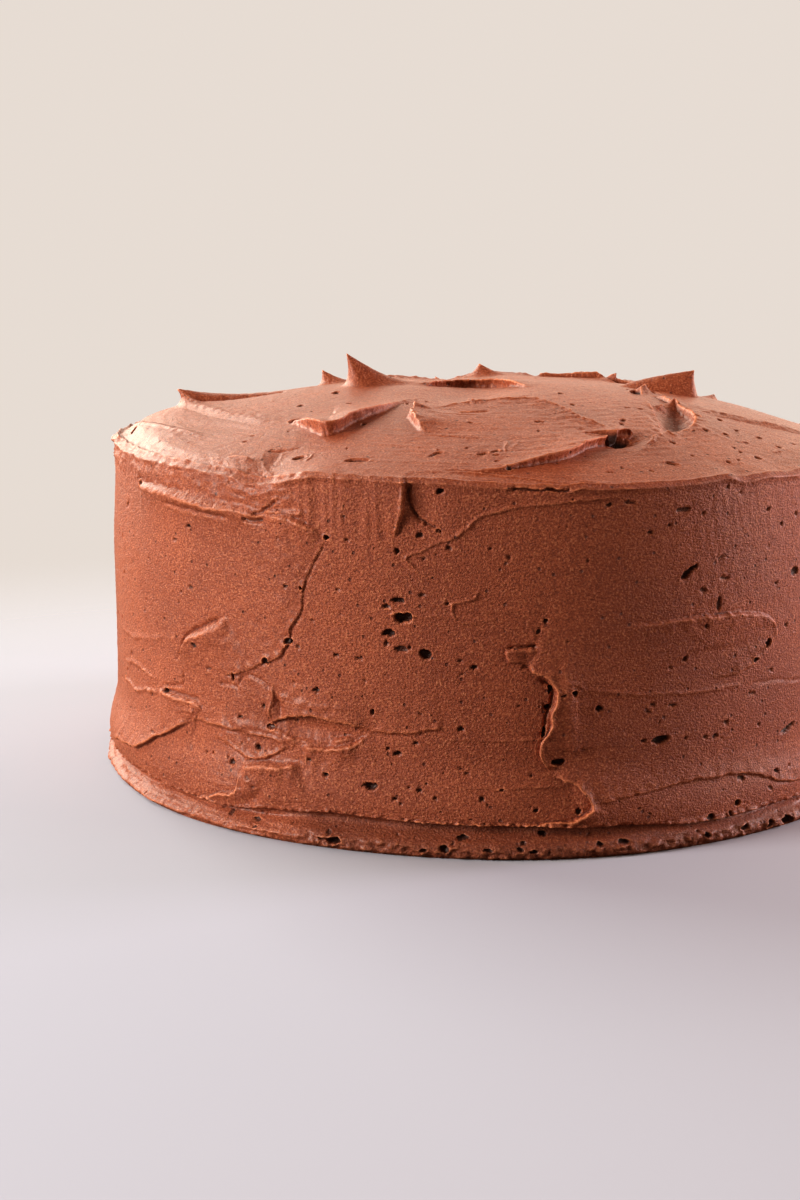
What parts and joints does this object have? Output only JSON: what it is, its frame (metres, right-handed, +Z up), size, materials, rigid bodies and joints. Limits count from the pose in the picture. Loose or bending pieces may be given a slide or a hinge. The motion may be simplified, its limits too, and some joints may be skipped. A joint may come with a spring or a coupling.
{
  "type": "layer cake",
  "caption": "Tall round uncut layer cake under a rough knife-spread coat of chocolate frosting, with a low domed top and small drawn-up peaks.",
  "frame": {"origin": "middle of the flat underside, under the middle of the cake's box", "axes": "+Z up, +Y away from the front that the picture shows, +X to the right as seen from the front"},
  "size_m": [0.2292, 0.2314, 0.1205],
  "materials": {
    "frosting": "satin"
  },
  "bodies": {
    "root": {"cake": "frosting"}
  },
  "joints": []
}
